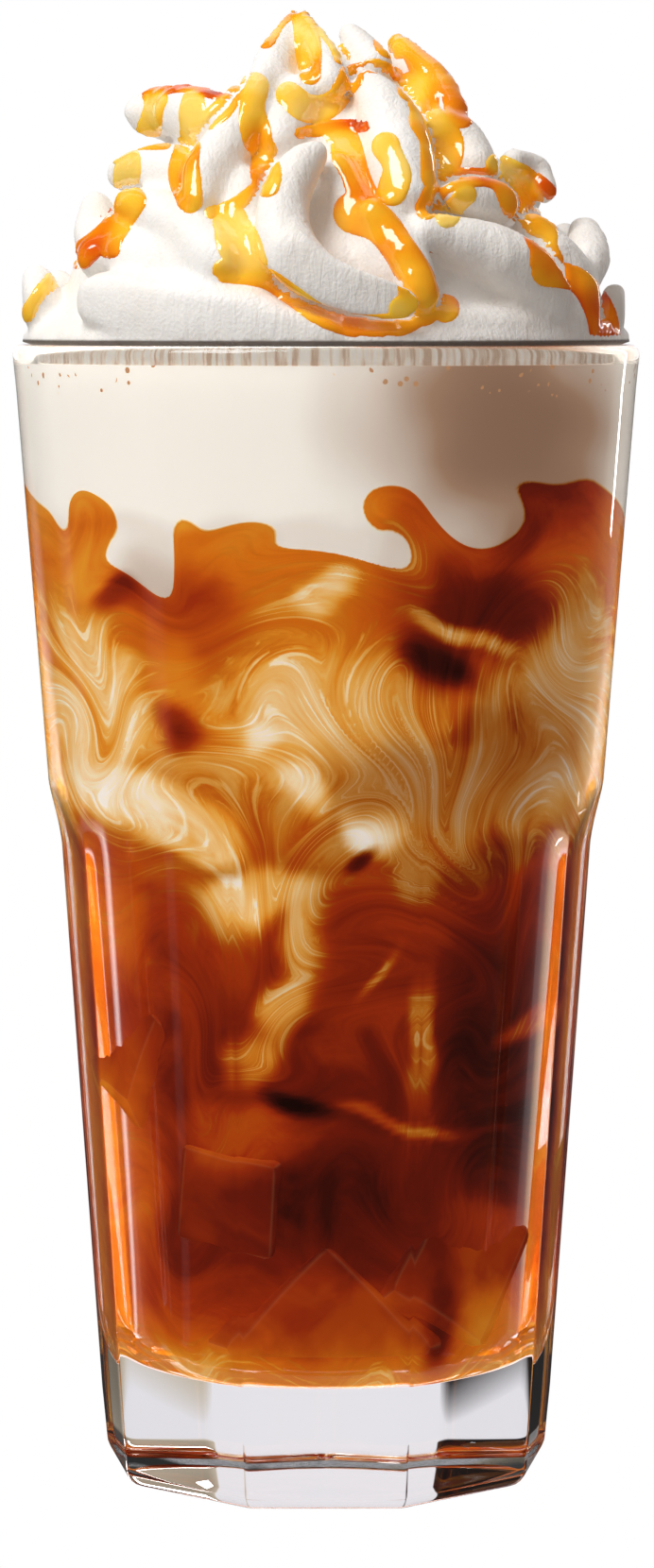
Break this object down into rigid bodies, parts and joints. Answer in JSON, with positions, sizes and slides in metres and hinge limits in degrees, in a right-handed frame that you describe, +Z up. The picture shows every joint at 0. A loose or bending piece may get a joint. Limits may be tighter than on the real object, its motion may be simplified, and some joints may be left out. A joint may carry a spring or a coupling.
{
  "type": "iced latte",
  "caption": "Iced latte in a tall tapered tumbler with a faceted lower half: marbled coffee under milk, topped by a heap of whipped cream with caramel drizzle.",
  "frame": {"origin": "centre of the tumbler's foot, on the plane it stands on", "axes": "+Z up along the tumbler's axis, -Y towards the front that the picture shows, +X to the viewer's right"},
  "size_m": [0.0878, 0.088, 0.2068],
  "materials": {
    "glass": "clear polished glass",
    "coffee": "brown coffee marbled with milk",
    "milk": "opaque warm white milk",
    "cream": "soft white whipped cream",
    "caramel": "glossy amber caramel sauce",
    "ice": "ice tinted by the coffee round it"
  },
  "bodies": {
    "root": {"glass": "glass", "coffee": "coffee", "milk": "milk", "whipped_cream": "cream"}
  },
  "joints": []
}
